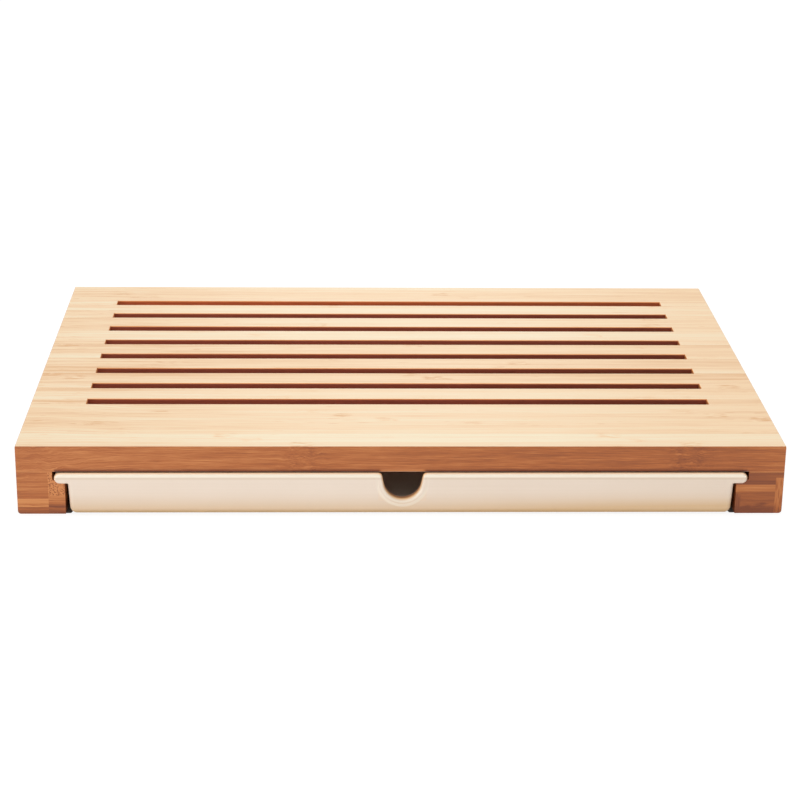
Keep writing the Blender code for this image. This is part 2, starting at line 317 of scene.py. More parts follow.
class Graph:
    """Adds nodes to a tree and links them, so that a material reads from top to bottom."""

    def __init__(self, tree):
        self.tree = tree

    def feed(self, socket, value):
        """Links a socket to a wire, or sets it to a plain value. A plain tone has three parts."""
        if isinstance(value, Wire):
            self.tree.links.new(value.socket, socket)
        elif socket.type == "RGBA":
            socket.default_value = (*value, 1.0)
        else:
            socket.default_value = value

    def add(self, kind, **values):
        """A new node. A word with a capital names an input, with _ for a space, and others a setting."""
        node = self.tree.nodes.new(kind)
        for word, value in values.items():
            if word[0].isupper():
                self.feed(node.inputs[word.replace("_", " ")], value)
            else:
                setattr(node, word, value)
        return node

    def get(self, kind, output, **values):
        """What a new node puts out under a name or a number."""
        return Wire(self, self.add(kind, **values).outputs[output])

    def outs(self, kind, **values):
        """All that a new node puts out, by name."""
        return {socket.name: Wire(self, socket) for socket in self.add(kind, **values).outputs}

    def mix(self, first_input, output, factor, first, second, **settings):
        node = self.add("ShaderNodeMix", **settings)
        for index, value in ((0, factor), (first_input, first), (first_input + 1, second)):
            self.feed(node.inputs[index], value)
        return Wire(self, node.outputs[output])

    def blend(self, factor, first, second):
        return self.mix(2, 0, factor, first, second, data_type="FLOAT")

    def tint(self, factor, first, second, kind="MIX"):
        return self.mix(6, 2, factor, first, second, data_type="RGBA", blend_type=kind)

    def split(self, vector):
        return list(self.outs("ShaderNodeSeparateXYZ", Vector=vector).values())

    def join(self, x, y, z):
        return self.get("ShaderNodeCombineXYZ", 0, X=x, Y=y, Z=z)

    def place(self):
        """The place on the object, in metres."""
        return self.get("ShaderNodeTexCoord", "Object")

    def attribute(self, name):
        return self.get("ShaderNodeAttribute", "Fac", attribute_type="GEOMETRY", attribute_name=name)

    def noise(self, place, scale=1.0, detail=2.0, roughness=0.5, distortion=0.0):
        return self.get("ShaderNodeTexNoise", "Fac", Vector=place, Scale=scale, Detail=detail,
                        Roughness=roughness, Distortion=distortion)

    def stretched(self, place, scales, **settings):
        """Noise drawn out along an axis, at its own scale on each."""
        return self.noise(self.join(*(part * scale for part, scale in zip(place, scales))), **settings)

    def ramp(self, factor, light, middle, dark):
        """A tone for a value: light at 0, middle at a half and dark at 1."""
        node = self.add("ShaderNodeValToRGB", Fac=factor)
        node.color_ramp.elements.new(0.5)
        for stop, tone in zip(node.color_ramp.elements, (light, middle, dark)):
            stop.color = (*tone, 1.0)
        return Wire(self, node.outputs["Color"])

    def bump(self, height, strength, distance):
        return self.get("ShaderNodeBump", "Normal", Height=height, Strength=strength, Distance=distance)

    def use(self, group, **values):
        """What a shader group puts out for the given values."""
        return self.outs("ShaderNodeGroup", node_tree=group, **values)


MADE = {}


def shared(maker, *values):
    """What a maker makes of the values, made the first time that it is asked for."""
    if (maker, values) not in MADE:
        MADE[maker, values] = maker(*values)
    return MADE[maker, values]


def new_group(name, kind, **inputs):
    """An empty node group: its graph, and its inputs by name. Underscores stand for spaces."""
    tree = bpy.data.node_groups.new(name, kind)
    for label, socket in inputs.items():
        tree.interface.new_socket(
            name=label.replace("_", " "), in_out="INPUT", socket_type="NodeSocket" + socket
        )
    graph = Graph(tree)
    return graph, graph.outs("NodeGroupInput")


def put_out(graph, socket, **values):
    """Closes a node group with what it puts out."""
    for label in values:
        graph.tree.interface.new_socket(
            name=label, in_out="OUTPUT", socket_type="NodeSocket" + socket
        )
    graph.add("NodeGroupOutput", **values)
    return graph.tree


# A knuckle's parts, in metres along the strip. The core and the halo are measured from its middle, and the
# ring's line from the ring's own place. Each is full up to its first number and gone past its second.
KNUCKLE_CORE = (0.0035, 0.0085)
KNUCKLE_HALO = (0.004, 0.019)
RING_LINE = (0.0006, 0.0027)
KNUCKLE_RING = 0.0056
KNUCKLE_WANDER = 0.003
SEAM_LINE = (0.00005, 0.00035)


def strip_grain_group():
    """Bamboo seen on a strip's edge or face: strips with their own tone, fibres, seams and knuckles."""
    labels = (
        "Along", "Across", "Through", "Bar", "Strip_Width", "Knuckle_Spacing", "First_Knuckle",
        "Streak_Length", "Streak_Width", "Figure", "Fan_Centre",
    )
    graph, source = new_group("Bamboo strips", "ShaderNodeTree", **dict.fromkeys(labels, "Float"))
    along, across, through = place = [source[label] for label in labels[:3]]
    turns = across / source["Strip Width"]
    strip = turns.math("FLOOR")
    identity = source["Bar"] * STRIPS_APART + STRIP_SEED + strip
    dice = graph.get("ShaderNodeTexWhiteNoise", "Color", noise_dimensions="1D", W=identity + 0.5)
    tone, start, chance = graph.split(dice)

    lane = identity.math("MODULO", 97.0) * 3.7
    drift = along / source["Streak Length"] + lane
    share = turns - strip
    from_seam = share.math("MINIMUM", 1.0 - share) * source["Strip Width"]
    open_seam = graph.noise(graph.join(drift * 0.8, lane, 0.0), detail=1.0).step(0.42, 0.66)

    is_first = source["Bar"] + strip < 0.5
    spacing = source["Knuckle Spacing"]
    knuckles = (along - source["First Knuckle"]) / spacing + start * (1.0 - is_first) + 0.5
    wander = graph.stretched(place, (60.0, 300.0, 300.0))
    reach = abs((knuckles.math("FRACT") - 0.5) * spacing + wander.spread(-KNUCKLE_WANDER, KNUCKLE_WANDER))
    strength = is_first.math("MAXIMUM", chance * chance)
    halo = reach.fall(*KNUCKLE_HALO)
    ring = abs(reach - KNUCKLE_RING).fall(*RING_LINE)
    knuckle = reach.fall(*KNUCKLE_CORE) * strength

    waves = graph.stretched(place, (130.0, 200.0, 200.0))
    figure = (-along).step(0.145, 0.205) * source["Figure"]
    bend = (waves - 0.5) * (halo * 0.004 + figure * 0.0026 + 0.0005)
    from_fan = across - source["Fan Centre"]
    bent = from_fan * (figure * -0.4 + 1.0) + source["Fan Centre"] + bend
    wide = bent / source["Streak Width"]
    deep = through / source["Streak Width"]

    def grain(stretch, fineness, **settings):
        """Noise drawn out along the strip, stretch times the streaks' length and finer across it."""
        return graph.noise(graph.join(drift / stretch, wide * fineness, deep * fineness), **settings)

    short_dashes = grain(0.16, 1.1, detail=1.0).step(0.62, 0.76)
    gathered = grain(0.5, 0.35, detail=1.0).step(0.50, 0.66)
    smudge = graph.stretched(place, (130.0, 420.0, 420.0), distortion=0.3)
    return put_out(
        graph,
        "Float",
        Tone=tone,
        Strip=strip,
        Seam=from_seam.fall(*SEAM_LINE) * open_seam,
        Streak=grain(1.0, 1.0, detail=3.0, roughness=0.6),
        Fibre=grain(0.3, 3.4, roughness=0.55),
        Band=grain(2.2, 0.28, detail=1.0),
        Fleck=short_dashes * gathered,
        Ring=ring * strength,
        Halo=halo * strength,
        Mottle=graph.stretched(place, (330.0, 620.0, 620.0), distortion=1.2),
        Smudge=knuckle * smudge.spread(-1.2, 1.9),
    )


def end_grain_group():
    """Bamboo seen on its end: dark bundles on a mottled ground."""
    graph, source = new_group(
        "Bamboo end grain", "ShaderNodeTree", Across="Float", Through="Float", Bar="Float")
    across, through, lane = source["Across"], source["Through"], source["Bar"] * 0.37
    place = graph.join(across, through, lane)
    wobble = graph.noise(place, 900.0, detail=1.0)
    moved = graph.join(wobble * 0.0008 + across, through, lane)
    from_bundle = graph.get("ShaderNodeTexVoronoi", "Distance", feature="F1", Vector=moved,
                            Scale=1250.0, Randomness=0.9)
    dots = from_bundle.fall(0.25, 0.60)
    return put_out(graph, "Float", Dots=dots, Ground=graph.noise(place, 420.0))


def handling_group():
    """Faint smears and scuffs from hands and cloths."""
    graph, source = new_group("Handling marks", "ShaderNodeTree", Place="Vector")
    smear = graph.noise(source["Place"], 28.0, detail=3.0, distortion=0.6)
    return put_out(graph, "Float", Smear=smear, Scuff=graph.noise(source["Place"], 900.0, detail=1.0))


def new_material(name, maker, *values):
    """A material whose shader has the inputs that the maker works out on the material's graph."""
    material = bpy.data.materials.new(name)
    material.use_nodes = True
    material.node_tree.nodes.clear()
    graph = Graph(material.node_tree)
    shader = graph.get("ShaderNodeBsdfPrincipled", 0, **maker(graph, *values))
    graph.add("ShaderNodeOutputMaterial", Surface=shader)
    return material


# The kinds of bamboo: a name, the axes along the fibres, across the strips and through them, whether it is
# the top's, how dark the bundles are on its end grain, and how far they are drawn out there.
BAMBOO_KINDS = {
    "top": ("Slotted top bamboo", "XYZ", True, 0.8, 1.0),
    "plies": ("Rail ply bamboo", "XZY", False, 0.8, 1.0),
    "rear": ("Rear rail bamboo", "XYZ", False, 0.8, 1.0),
    "blocks": ("Rail block bamboo", "YXZ", False, 0.8, 1.0),
    "posts": ("Rail post bamboo", "YXZ", False, 0.35, 9.0),
}


def bamboo_inputs(graph, order, is_top, bundles, drawn_out):
    """Oiled bamboo. A level tells how dark it is at each place, from its grain and from its bar's tone."""
    finish = bpy.context.scene.board_finish
    sizes = bpy.context.scene.bread_board
    place = graph.place()
    axes = dict(zip("XYZ", graph.split(place)))
    facing = dict(zip("XYZ", graph.split(graph.get("ShaderNodeNewGeometry", "Normal"))))
    along, across, through = (axes[letter] for letter in order)
    bar = graph.attribute("bar")
    from_start = across - graph.attribute("bar_start")
    common = {
        "group": shared(strip_grain_group),
        "Along": along,
        "Bar": bar,
        "Knuckle_Spacing": sizes.knuckle_spacing,
        "First_Knuckle": sizes.first_knuckle,
    }
    edge = graph.use(Across=from_start, Through=through, Strip_Width=sizes.strip_width,
                     Streak_Length=0.075, Streak_Width=0.0015, Figure=0.3, Fan_Centre=0.0, **common)
    face = graph.use(Across=through, Through=from_start, Strip_Width=1.0, Streak_Length=0.028,
                     Streak_Width=0.0008, Figure=1.0, Fan_Centre=TOP_Z - 0.004, **common)
    end = graph.use(shared(end_grain_group), Across=from_start, Through=through / drawn_out, Bar=bar)
    is_face = abs(facing[order[1]]).step(0.55, 0.85)
    is_end = abs(facing[order[0]]).step(0.55, 0.85)

    def dark(source, **amounts):
        """How dark the grain is, from each of its parts, about nought on average."""
        return sum(source[part.title()].spread(-much, much) for part, much in amounts.items())

    lively = dark(edge, streak=0.40, fibre=0.26, band=0.28) + edge["Fleck"] * 0.35
    stronger = (-along).step(0.06, 0.20).spread(1.0, 1.6)
    edge_dark = dark(edge, tone=0.17) + lively * stronger + edge["Smudge"] * 0.6 + edge["Seam"] * 0.2
    rings = face["Mottle"].spread(-1.6, 2.4) * (face["Ring"] * 0.09 + face["Halo"] * 0.13)
    face_dark = dark(face, streak=0.56, fibre=0.40, band=0.26) + rings
    end_dark = end["Dots"] * bundles + end["Ground"].spread(-0.42 * bundles, 0.06)
    grain = graph.blend(is_end, graph.blend(is_face, edge_dark, face_dark), end_dark)
    level = grain + graph.attribute("bar_tone")
    if is_top:
        drift = along.step(-0.24, 0.30).spread(-0.13, 0.17) + along.step(0.185, 0.21) * -0.14
        level = level + (drift + along.step(-0.21, -0.13).spread(0.06, 0.0)) * is_face
    else:
        # Painted shade: darker over the lowest 8 mm, near the floor.
        level = level + axes["Z"].fall(0.0, 0.008) * 0.3
    tone = graph.ramp(level, finish.caramel_light, finish.caramel_mid, finish.caramel_dark)
    if is_top:
        tone = dressed_top(graph, tone, level, edge["Strip"], axes, facing, bar)
    handling = graph.use(shared(handling_group), Place=place)
    return {
        "Base_Color": tone,
        "Roughness": handling["Smear"] * 0.07 + grain * 0.08 + (finish.wood_roughness - 0.06),
        "Specular_IOR_Level": 0.4,
        "Normal": graph.bump(1.0 - level, 0.35, 0.0001),
    }


def bamboo_material(kind):
    name, *values = BAMBOO_KINDS[kind]
    return new_material(name, bamboo_inputs, *values)


def dressed_top(graph, caramel, level, strip, axes, facing, bar):
    """The top's colour: pale on its cutting face with a painted sheen towards its middle, painted light and
    shade on the slots' walls and the front's lower edge, caramel outside, and a flat grey of painted shade
    beneath.
    """
    finish = bpy.context.scene.board_finish
    x, y, z = axes.values()
    from_middle = abs(x)
    # Painted sheen: the cutting face is paler towards its middle and darker towards its ends. The front
    # board's first three strips are lighter.
    lighter = bar.math("COMPARE", FRONT_BAR, 0.5) * (strip < 2.5)
    pale_level = level + from_middle.step(0.01, 0.24).spread(-0.17, 0.0) + lighter * -0.21
    pale = graph.ramp(pale_level, finish.pale_light, finish.pale_mid, finish.pale_dark)

    in_slots = (from_middle < SLOT_END_X + 0.0005) * (abs(y) < BACK_Y - 0.02)
    on_back_board = bar.math("COMPARE", BACK_BAR, 0.5)
    # The slots' walls: their own redder tone, with painted light on the last slot's wall and on the end
    # walls, painted shade near the left end and towards the right, and the grain darkening them.
    slot_tone_and_light = graph.tint(on_back_board, finish.slot_tone, finish.back_slot_light)
    slot_tone_and_light = graph.tint(abs(facing["X"]) > 0.7, slot_tone_and_light, finish.slot_end_light)
    left_end_shade = (-x).step(SLOT_END_X - 0.007, SLOT_END_X).spread(1.0, 0.84)
    rightward_shade = x.step(-0.02, SLOT_END_X).spread(1.03, 0.86)
    shade = (level * -0.5 + 1.25) * (left_end_shade * rightward_shade)
    wall = graph.tint(1.0, slot_tone_and_light, graph.join(shade, shade, shade), "MULTIPLY")
    upright = abs(facing["Z"]).fall(0.3, 0.7)
    side = graph.tint(in_slots * upright, caramel, wall)

    # Painted shade: the front face's lowest 2.5 mm is darker over the tray's lip. Painted light: it is
    # lighter over the notch and over the left rail.
    low_front = (-facing["Y"] > 0.4) * z.fall(UNDERSIDE_Z, UNDERSIDE_Z + 0.0025)
    over_lip = from_middle.between(NOTCH_REACH, RIM_X - 0.001, 0.002)
    side = graph.tint(low_front * over_lip, side, (0.32, 0.22, 0.3), "MULTIPLY")
    over_notch = from_middle.fall(NOTCH_REACH - 0.003, NOTCH_REACH)
    for part, strength in ((over_notch, 0.7), (x < -RIM_X, 0.45)):
        side = graph.tint(low_front * part * strength, side, finish.caramel_light)

    flat = abs(facing["Z"])
    tone = graph.tint(flat.step(0.72, 0.96), side, pale)
    # Painted highlight on the slots' rounded upper edges.
    tone = graph.tint(in_slots * flat.between(0.4, 0.85, 0.1), tone, finish.slot_edge_highlight)
    # Painted shade: the top's underside is one flat grey.
    return graph.tint(facing["Z"] < -0.5, tone, finish.under_shade)


# Where light and shade are painted on the melamine, in metres: up from its foot, up from the lip's top, or
# back from its face.
# The painted highlight rings lie that far out from the notch's edge, with a soft border.
FOOT_SHADE = (-0.001, 0.020)
FOOT_SHADE_LINE = (0.0004, 0.0036)
LIP_HIGHLIGHT = (-0.0026, -0.0018)
LIP_SHADOW_LINE = (-0.0033, -0.0028, 0.0006)
LIP_SIDE = 0.0035
FACE_DEPTH = 0.001
GOLD_REFLECTION_DEPTH = (0.0001, 0.0012)
NOTCH_SHADE_DEPTH = (0.0013, 0.0032)
INNER_HIGHLIGHT_RING = (0.0012, 0.0017, 0.0006)
OUTER_HIGHLIGHT_RING = (0.0032, 0.0040, 0.0009)


def melamine_inputs(graph):
    """Moulded ivory melamine: silk, faintly mottled, with painted highlight, reflection and shade along the
    front's rounded edges and painted shade at its foot.
    """
    finish = bpy.context.scene.board_finish
    tray = bpy.context.scene.crumb_tray
    place = graph.place()
    x, y, z = graph.split(place)
    # The melamine turns towards its darker tone to the right.
    toward_right = x.step(-0.02, 0.2)
    cloud = graph.noise(place, 9.0, detail=3.0, roughness=0.55)
    brushed = graph.stretched((x, y, z), (6.0, 90.0, 900.0))
    mottle = (cloud.spread(-0.5, 0.9) + brushed.spread(-0.3, 0.3)).math("ADD", toward_right * 0.3, clamp=True)
    tone = graph.tint(mottle, finish.ivory, finish.ivory_shade)

    up_foot, up_lip, depth = z - FOOT_Z, z - LIP_Z, y - LIP_Y
    back_y = LIP_Y + tray.front_thickness
    on_face = y < LIP_Y + FACE_DEPTH
    in_notch = (z > LIP_Z - tray.notch_depth - 0.001) * (abs(x) < NOTCH_REACH)
    # Painted shade at the front's foot, stronger to the right.
    foot = up_foot.fall(*FOOT_SHADE).math("POWER", 2.2) * (toward_right * 0.7 + 0.9) * y.fall(LIP_Y + 0.003, back_y)
    # Painted reflection of the wood behind the rolled edges, and painted shade deep in the notch's edge.
    behind_edge = ((z > LIP_Z - LIP_SIDE) * 0.6).math("MAXIMUM", in_notch * 0.9)
    gold_reflection = depth.step(*GOLD_REFLECTION_DEPTH) * (y < back_y - 0.0001) * behind_edge
    deep = depth.step(*NOTCH_SHADE_DEPTH) * (y < back_y - 0.0001) * in_notch

    # Painted highlight rings round the notch, strongest under it.
    rise = z - (LIP_Z - tray.notch_depth + tray.notch_radius)
    below = rise.math("MINIMUM", 0.0)
    round_notch = (x * x + below * below).math("SQRT")
    sideways = rise.math("MAXIMUM", 0.0) * math.tan(tray.notch_lean)
    from_notch = round_notch - sideways - tray.notch_radius
    rings = from_notch.between(*INNER_HIGHLIGHT_RING) + from_notch.between(*OUTER_HIGHLIGHT_RING)
    ring_highlight = rings * (-below).step(0.0, 0.009).spread(0.3, 1.0) * on_face * 0.5

    # Painted shade at the foot, painted highlight on the lip, painted shade along the lower edge, a painted
    # shadow line under the lip, painted highlight rings, painted reflection of the wood, and painted shade
    # deep in the notch.
    shades = (
        (foot, finish.ivory_foot_shade, "MIX"),
        (up_lip.step(*LIP_HIGHLIGHT) * (y < back_y), finish.ivory_highlight, "MIX"),
        (on_face * up_foot.fall(*FOOT_SHADE_LINE) * 0.95, finish.ivory_line_shade, "MIX"),
        (on_face * up_lip.between(*LIP_SHADOW_LINE), (0.92, 0.90, 0.87), "MULTIPLY"),
        (ring_highlight, finish.ivory_highlight, "MIX"),
        (gold_reflection, finish.ivory_gold_reflection, "MIX"),
        (deep, finish.ivory_notch_shade, "MIX"),
    )
    for where, shade, kind in shades:
        tone = graph.tint(where, tone, shade, kind)
    marks = graph.use(shared(handling_group), Place=place)
    return {
        "Base_Color": tone,
        "Roughness": marks["Smear"] * 0.08 + (finish.ivory_roughness - 0.04),
        "IOR": 1.5,
        "Normal": graph.bump(marks["Scuff"], 0.12, 0.00005),
    }


class BarMesh:
    """Collects closed bars into one mesh, and keeps each bar's number, first edge and tone."""

    def __init__(self):
        self.points = []
        self.faces = []
        self.materials = []
        self.values = {"bar": [], "bar_start": [], "bar_tone": []}

    def add(self, bm, bar, start, tone, material=0):
        first = len(self.points)
        bm.verts.index_update()
        self.points += [vertex.co.copy() for vertex in bm.verts]
        for values, value in zip(self.values.values(), (bar, start, tone)):
            values += [value] * len(bm.verts)
        self.faces += [[first + vertex.index for vertex in face.verts] for face in bm.faces]
        self.materials += [material] * len(bm.faces)
        bm.free()

    def mesh(self, name):
        data = bpy.data.meshes.new(name)
        data.from_pydata(self.points, [], self.faces)
        data.polygons.foreach_set("material_index", self.materials)
        for label, values in self.values.items():
            data.attributes.new(label, "FLOAT", "POINT").data.foreach_set("value", values)
        data.update()
        return data


def lofted(rings):
    """A closed skin over rings of equal length, capped at both ends."""
    bm = bmesh.new()
    made = [[bm.verts.new(point) for point in ring] for ring in rings]
    for lower, upper in zip(made, made[1:]):
        for i in range(len(lower)):
            bm.faces.new((lower[i - 1], lower[i], upper[i], upper[i - 1]))
    bm.faces.new(made[0])
    bm.faces.new(made[-1])
    bmesh.ops.recalc_face_normals(bm, faces=bm.faces)
    return bm


def prism(outline, front_y, back_y):
    """An outline of x and z places, drawn out along Y."""
    return lofted([[(x, y, z) for x, z in outline] for y in (front_y, back_y)])


def oblong(low_x, low_z, high_x, high_z):
    return (low_x, low_z), (high_x, low_z), (high_x, high_z), (low_x, high_z)


def arc(centre, radius, start, end, steps):
    """Points of an arc, with its angles in degrees."""
    points = []
    for step in range(steps + 1):
        angle = math.radians(start + (end - start) * step / steps)
        points.append((centre[0] + radius * math.cos(angle), centre[1] + radius * math.sin(angle)))
    return points


def quarter_turn(steps):
    """The angles of a quarter turn in equal steps."""
    return [math.pi / 2 * step / steps for step in range(steps + 1)]


def same(first, second):
    """Whether two places on an axis are one."""
    return abs(first - second) < 1e-6


def at(**places):
    """Chooses the edges that lie wholly at the given places, such as x=END_X, z=0."""
    return lambda *ends: all(
        same(getattr(end, axis), place) for end in ends for axis, place in places.items()
    )


def runs_back(first, second):
    """Chooses the edges that run from the front to the back."""
    return same(first.x, second.x) and same(first.z, second.z)


def ease(bm, width, chosen, segments=3):
    """Rounds the edges that chosen accepts, by their two ends."""
    edges = [edge for edge in bm.edges if chosen(*(vertex.co for vertex in edge.verts))]
    if edges:
        bmesh.ops.bevel(
            bm, geom=edges, offset=width, segments=segments, profile=0.5, affect="EDGES"
        )


def evaluated_mesh(holder):
    """The mesh that a helper object shows with its modifiers. The helper goes."""
    bpy.context.view_layer.update()
    graph = bpy.context.evaluated_depsgraph_get()
    data = bpy.data.meshes.new_from_object(holder.evaluated_get(graph))
    bpy.data.objects.remove(holder)
    return data


def helper_object(name, data):
    """An object in the scene, with its data given or still in the making."""
    if isinstance(data, bmesh.types.BMesh):
        made = bpy.data.meshes.new(name)
        data.to_mesh(made)
        data.free()
        data = made
    holder = bpy.data.objects.new(name, data)
    bpy.context.scene.collection.objects.link(holder)
    return holder


def finish_piece(name, data, materials, body, replaced):
    """Puts a finished mesh in the scene, in the frame's place for it."""
    if data.materials and data.materials[0] is None:
        data.materials.pop(index=0)
    if not data.materials:
        for material in materials:
            data.materials.append(material)
    holder = helper_object(name + "_shaded", data)
    data.shade_smooth()
    data.set_sharp_from_angle(angle=math.radians(40))
    holder.modifiers.new("Even shading", "WEIGHTED_NORMAL").keep_sharp = True
    shaded = evaluated_mesh(holder)
    shaded.name = name
    piece = helper_object(name, shaded)
    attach(piece, body)
    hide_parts(*replaced)


def finish_wood(name, data, kinds, replaced):
    materials = [shared(bamboo_material, kind) for kind in kinds]
    finish_piece(name, data, materials, "board", replaced)


ARRIS_STEPS = 4


def bar_section(front_y, back_y, top_z, radii):
    """A bar's section in y and z. The radii go round from the lower front corner by the lower back one."""
    corners = (
        (front_y, UNDERSIDE_Z, 1, 1, 180),
        (back_y, UNDERSIDE_Z, -1, 1, 270),
        (back_y, top_z, -1, -1, 0),
        (front_y, top_z, 1, -1, 90),
    )
    section = []
    for (y, z, inward_y, inward_z, start), radius in zip(corners, radii):
        centre = (y + inward_y * radius, z + inward_z * radius)
        section += arc(centre, radius, start, start + 90, ARRIS_STEPS)
    return section


def long_bar(front_y, back_y, eased_front=False, eased_back=False):
    """A bar of the top. An edge beside a slot is rounded only as far as the slot is open."""
    sizes = bpy.context.scene.bread_board
    groove_x = LEDGE_X + sizes.groove_depth
    stations = [
        (END_X - sizes.arris * (1 - math.cos(angle)), TOP_Z - sizes.arris * (1 - math.sin(angle)))
        for angle in quarter_turn(ARRIS_STEPS)
    ]
    for edge_x in (groove_x, SLOT_END_X):
        stations += [(edge_x + sizes.hairline, TOP_Z), (edge_x, TOP_Z)]
    rings = []
    for x, top_z in stations + [(-x, top_z) for x, top_z in reversed(stations)]:
        beside_slot = sizes.slot_arris if abs(x) <= SLOT_END_X else sizes.hairline
        over_tray = eased_front and abs(x) <= groove_x
        radii = (
            sizes.under_arris if over_tray else sizes.hairline,
            sizes.hairline,
            sizes.arris if eased_back else beside_slot,
            sizes.arris if eased_front else beside_slot,
        )
        rings.append([(x, y, z) for y, z in bar_section(front_y, back_y, top_z, radii)])
    return lofted(rings)


class BREADBOARD_OT_long_boards(bpy.types.Operator):
    """Makes the front board and the back board of the slotted top"""

    bl_idname = "breadboard.long_boards"
    bl_label = "Front and back boards"

    def execute(self, context):
        boards = (
            ("front_board", FRONT_Y, FRONT_HIGH.y, FRONT_BAR, 0.5),
            ("back_board", BACK_LOW.y, BACK_Y, BACK_BAR, 0.56),
        )
        for node, front_y, back_y, bar, tone in boards:
            blank = long_bar(front_y, back_y, bar == FRONT_BAR, bar == BACK_BAR)
            bars = BarMesh()
            bars.add(blank, bar, front_y, tone)
            name = node + "_bar"
            finish_wood(name, bars.mesh(name), ["top"], [node])
        return {"FINISHED"}


def bar_row_tree():
    """Geometry nodes that repeat a blank bar, and give each copy its number, first edge and tone."""
    graph, source = new_group(
        "Row of bars",
        "GeometryNodeTree",
        Blank="Object",
        Count="Int",
        Pitch="Float",
        First_Edge="Float",
        First_Bar="Int",
        Tone="Float",
        Tone_Spread="Float",
        Seed="Int",
        Material="Material",
    )
    index = graph.get("GeometryNodeInputIndex", 0)
    line = graph.get(
        "GeometryNodeMeshLine",
        "Mesh",
        mode="OFFSET",
        Count=source["Count"],
        Start_Location=graph.join(0.0, source["First Edge"], 0.0),
        Offset=graph.join(0.0, source["Pitch"], 0.0),
    )
    blank = graph.get("GeometryNodeObjectInfo", "Geometry", Object=source["Blank"])
    geometry = graph.get("GeometryNodeInstanceOnPoints", "Instances", Points=line, Instance=blank)
    dice = graph.add("FunctionNodeRandomValue", data_type="FLOAT", Seed=source["Seed"])
    graph.feed(dice.inputs[2], source["Tone"] - source["Tone Spread"])
    graph.feed(dice.inputs[3], source["Tone"] + source["Tone Spread"])
    values = (
        ("bar", index + source["First Bar"]),
        ("bar_start", index * source["Pitch"] + source["First Edge"]),
        ("bar_tone", Wire(graph, dice.outputs[1])),
    )
    for name, value in values:
        geometry = graph.get("GeometryNodeStoreNamedAttribute", "Geometry", data_type="FLOAT",
                             domain="INSTANCE", Geometry=geometry, Name=name, Value=value)
    real = graph.get("GeometryNodeRealizeInstances", 0, Geometry=geometry)
    dressed = graph.get("GeometryNodeSetMaterial", 0, Geometry=real, Material=source["Material"])
    return put_out(graph, "Geometry", Geometry=dressed)


def make_row(name, node, bm, **values):
    """Makes a row of like bars of the top, from one blank whose first edge lies at Y 0."""
    blank = helper_object("blank_bar", bm)
    holder = helper_object(name + "_row", bmesh.new())
    modifier = holder.modifiers.new("Row of bars", "NODES")
    modifier.node_group = shared(bar_row_tree)
    values.update(Blank=blank, Pitch=SLAT_PITCH, Material=shared(bamboo_material, "top"))
    for item in modifier.node_group.interface.items_tree:
        if item.in_out == "INPUT":
            modifier[item.identifier] = values[item.name.replace(" ", "_")]
    data = evaluated_mesh(holder)
    bpy.data.objects.remove(blank)
    nodes = [f"{node}_{number + 1}" for number in range(values["Count"])]
    finish_wood(name, data, ["top"], nodes)


class BREADBOARD_OT_slats(bpy.types.Operator):
    """Makes the slats between the slots"""

    bl_idname = "breadboard.slats"
    bl_label = "Slats"

    def execute(self, context):
        make_row("slats", "slat", long_bar(0, SLAT_WIDTH), Count=SLAT_COUNT, First_Edge=SLAT_LOW.y,
                 First_Bar=FIRST_SLAT_BAR, Tone=0.62, Tone_Spread=0.15, Seed=1781)
        return {"FINISHED"}


class BREADBOARD_OT_fillers(bpy.types.Operator):
    """Makes the short fillers that close the slots' ends"""

    bl_idname = "breadboard.fillers"
    bl_label = "Slot fillers"

    def execute(self, context):
        sizes = context.scene.bread_board
        ends = (
            ("left", -1, FIRST_LEFT_FILLER_BAR, 7),
            ("right", 1, FIRST_RIGHT_FILLER_BAR, 12),
        )
        for side, sign, first_bar, seed in ends:
            outline = oblong(sign * SLOT_END_X, UNDERSIDE_Z, sign * END_X, TOP_Z)
            blank = prism(outline, 0, SLOT_WIDTH)
            ease(blank, sizes.slot_arris, at(x=sign * SLOT_END_X, z=TOP_Z))
            ease(blank, sizes.arris, at(x=sign * END_X, z=TOP_Z))
            make_row(f"{side}_fillers", f"{side}_filler", blank, Count=SLOT_COUNT,
                     First_Edge=FRONT_HIGH.y, First_Bar=first_bar, Tone=0.5, Tone_Spread=0.06, Seed=seed)
        return {"FINISHED"}


# The strips of each side rail as seen on its front: their tone, whether they are cross plies, blocks that
# run back or posts with upright bundles, and their outline in shares of the rail's width, from outside,
# and of its height.
LEFT_RAIL_SHARES = (
    (0.48, "plies", oblong(0, 0, 0.65, 0.163)),
    (0.00, "plies", oblong(0, 0.163, 0.65, 0.366)),
    (0.53, "plies", oblong(0, 0.366, 0.65, 0.585)),
    (0.26, "plies", oblong(0, 0.585, 0.65, 0.75)),
    (0.60, "plies", oblong(0, 0.75, 0.65, 0.83)),
    (0.22, "plies", oblong(0, 0.83, 0.65, 1)),
    (0.74, "plies", oblong(0.65, 0, 1, 0.265)),
    (0.20, "plies", oblong(0.65, 0.265, 1, 0.445)),
    (0.20, "blocks", (
        (0.65, 0.445), (1, 0.445), (1, "ledge"), ("groove", "ledge"), ("groove", 1), (0.65, 1),
    )),
)
RIGHT_RAIL_SHARES = (
    (0.52, "plies", oblong(0.165, 0, 0.895, 0.495)),
    (0.78, "posts", oblong(0.895, 0, 1, 0.495)),
    (0.37, "posts", oblong(0, 0, 0.165, 0.87)),
    (0.44, "plies", oblong(0.165, 0.495, 1, 0.7)),
    (0.98, "plies", (
        (0.165, 0.7), (1, 0.7), (1, "ledge"), ("groove", "ledge"), ("groove", 1), (0, 1),
        (0, 0.87), (0.165, 0.87),
    )),
)
# A thin strip at the sides' lightest tone between each rail's top and the board's underside.
SEAM_STRIP = (0.0, "plies", ((0, 1), ("groove", 1), ("groove", "board"), (0, "board")))


